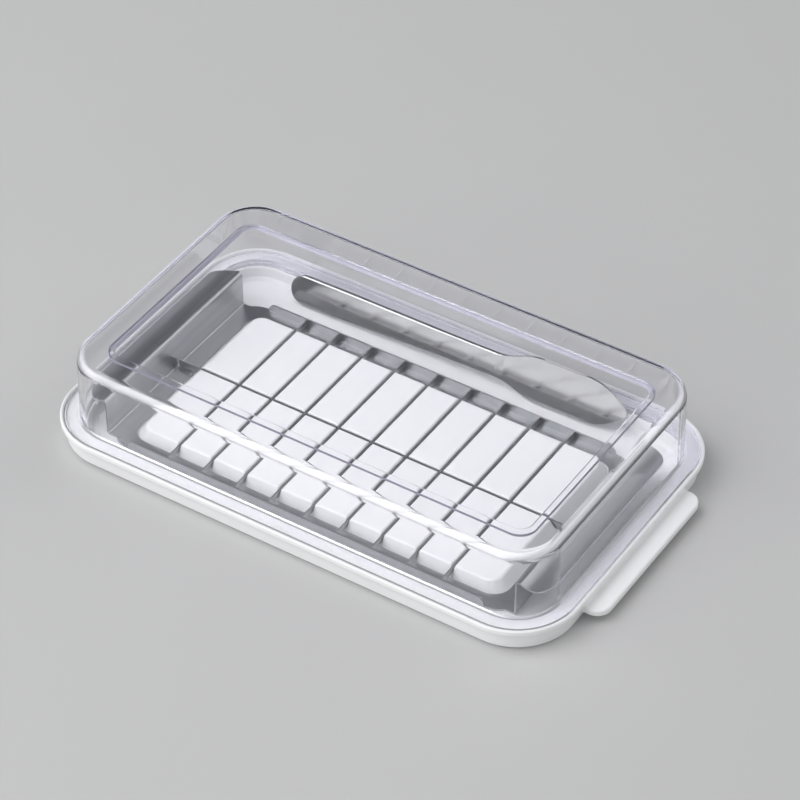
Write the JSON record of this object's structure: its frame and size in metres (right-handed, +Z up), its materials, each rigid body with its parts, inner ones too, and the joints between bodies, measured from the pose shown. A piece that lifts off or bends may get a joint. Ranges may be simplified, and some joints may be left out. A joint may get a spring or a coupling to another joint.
{
  "type": "butter dish with cutter",
  "caption": "Long low butter dish: white slotted tray with an end tab, clear lid with a sunk top, a pressed steel cutter frame with crossed blades, and a flat steel spreading knife.",
  "frame": {"origin": "centre of the tray's flat underside, where the two middle lines of the tray cross, the tab left out", "axes": "+X along the dish towards the end with the tab, +Y towards the side where the knife lies, +Z up"},
  "size_m": [0.1975, 0.1178, 0.0342],
  "materials": {
    "tray": "glossy white moulded plastic",
    "lid": "clear polished plastic",
    "cutter_sheet": "mirror-polished stainless steel",
    "blade": "fine-ground stainless steel",
    "knife": "polished stainless steel"
  },
  "bodies": {
    "tray": {"tray": "tray"},
    "lid": {"lid": "lid"},
    "cutter": {"cutter_frame": "cutter_sheet", "cross_blade_1": "blade", "cross_blade_2": "blade", "cross_blade_3": "blade", "cross_blade_4": "blade", "cross_blade_5": "blade", "cross_blade_6": "blade", "cross_blade_7": "blade", "cross_blade_8": "blade", "cross_blade_9": "blade", "long_blade": "blade"},
    "knife": {"butter_knife": "knife"}
  },
  "joints": [
    {"name": "lid_lift", "type": "slide", "parent": "tray", "child": "lid", "axis": [0, 0, 1], "range_m": [0, 0.12]},
    {"name": "cutter_lift", "type": "slide", "parent": "tray", "child": "cutter", "axis": [0, 0, 1], "range_m": [0, 0.042]},
    {"name": "knife_lift", "type": "slide", "parent": "tray", "child": "knife", "axis": [0, 0, 1], "range_m": [0, 0.09]}
  ],
  "couplings": [
    {"joint": "cutter_lift", "follows": "lid_lift", "ratio": 0.35},
    {"joint": "knife_lift", "follows": "lid_lift", "ratio": 0.75}
  ]
}
